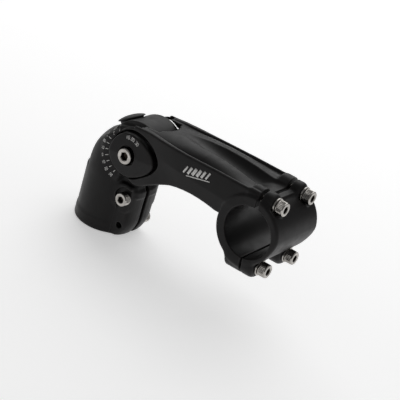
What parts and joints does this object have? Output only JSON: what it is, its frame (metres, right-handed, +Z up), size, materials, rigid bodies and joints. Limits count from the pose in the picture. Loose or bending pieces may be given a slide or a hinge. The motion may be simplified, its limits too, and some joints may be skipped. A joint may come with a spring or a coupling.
{
  "type": "adjustable handlebar stem",
  "caption": "Angle-adjustable bicycle handlebar stem with a split steerer clamp, a tilting forged arm and a removable handlebar faceplate.",
  "frame": {"origin": "centre of the steerer bore at the clamp's bottom face", "axes": "+Z up the steerer axis, +X forward to the handlebar, +Y to the rider's left, so that the drawn right side faces -Y"},
  "size_m": [0.1506, 0.0444, 0.0861],
  "materials": {
    "black_aluminium": "satin black anodised forging",
    "bright_steel": "bright plated socket screws",
    "dull_steel": "plain pressed steel",
    "bush_bronze": "plain bearing bronze",
    "black_plastic": "matte black moulded plastic"
  },
  "bodies": {
    "base": {"steerer_clamp": "black_aluminium", "pivot_sleeve": "bush_bronze"},
    "arm": {"arm": "black_aluminium", "pivot_plate_right": "black_aluminium", "pivot_plate_left": "black_aluminium", "pivot_nut": "bright_steel", "index_ring_right": "dull_steel", "index_ring_left": "dull_steel"},
    "plug": {"access_plug": "black_plastic"},
    "pivot_screw": {"pivot_bolt": "bright_steel"},
    "pinch_screw_upper": {"pinch_bolt_upper": "bright_steel"},
    "pinch_screw_lower": {"pinch_bolt_lower": "bright_steel"},
    "faceplate": {"faceplate": "black_aluminium", "faceplate_washer_upper_right": "bright_steel", "faceplate_washer_upper_left": "bright_steel", "faceplate_washer_lower_right": "bright_steel", "faceplate_washer_lower_left": "bright_steel"},
    "face_screw_upper_right": {"faceplate_bolt_upper_right": "bright_steel"},
    "face_screw_upper_left": {"faceplate_bolt_upper_left": "bright_steel"},
    "face_screw_lower_right": {"faceplate_bolt_lower_right": "bright_steel"},
    "face_screw_lower_left": {"faceplate_bolt_lower_left": "bright_steel"}
  },
  "joints": [
    {"name": "arm_tilt", "type": "hinge", "parent": "base", "child": "arm", "pos_m": [0.017, 0, 0.0585], "axis": [0, -1, 0], "range_deg": [-10, 40]},
    {"name": "plug_pull", "type": "slide", "parent": "base", "child": "plug", "axis": [-0.5948, 0, 0.8039], "range_m": [0, 0.012]},
    {"name": "pivot_screw_turn", "type": "hinge", "parent": "arm", "child": "pivot_screw", "pos_m": [0.017, 0, 0.0585], "axis": [0, -1, 0], "continuous": true},
    {"name": "pinch_upper_turn", "type": "hinge", "parent": "base", "child": "pinch_screw_upper", "pos_m": [0.0204, 0, 0.0288], "axis": [0, -1, 0], "continuous": true},
    {"name": "pinch_lower_turn", "type": "hinge", "parent": "base", "child": "pinch_screw_lower", "pos_m": [0.0204, 0, 0.009], "axis": [0, 1, 0], "continuous": true},
    {"name": "faceplate_slide", "type": "slide", "parent": "arm", "child": "faceplate", "axis": [0.9983, 0, 0.0584], "range_m": [0, 0.012]},
    {"name": "face_upper_right_turn", "type": "hinge", "parent": "faceplate", "child": "face_screw_upper_right", "pos_m": [0.11013, -0.0143, 0.07912], "axis": [0.9983, 0, 0.0584], "continuous": true},
    {"name": "face_upper_left_turn", "type": "hinge", "parent": "faceplate", "child": "face_screw_upper_left", "pos_m": [0.11013, 0.0143, 0.07912], "axis": [0.9983, 0, 0.0584], "continuous": true},
    {"name": "face_lower_right_turn", "type": "hinge", "parent": "faceplate", "child": "face_screw_lower_right", "pos_m": [0.11248, -0.0143, 0.03898], "axis": [0.9983, 0, 0.0584], "continuous": true},
    {"name": "face_lower_left_turn", "type": "hinge", "parent": "faceplate", "child": "face_screw_lower_left", "pos_m": [0.11248, 0.0143, 0.03898], "axis": [0.9983, 0, 0.0584], "continuous": true}
  ]
}
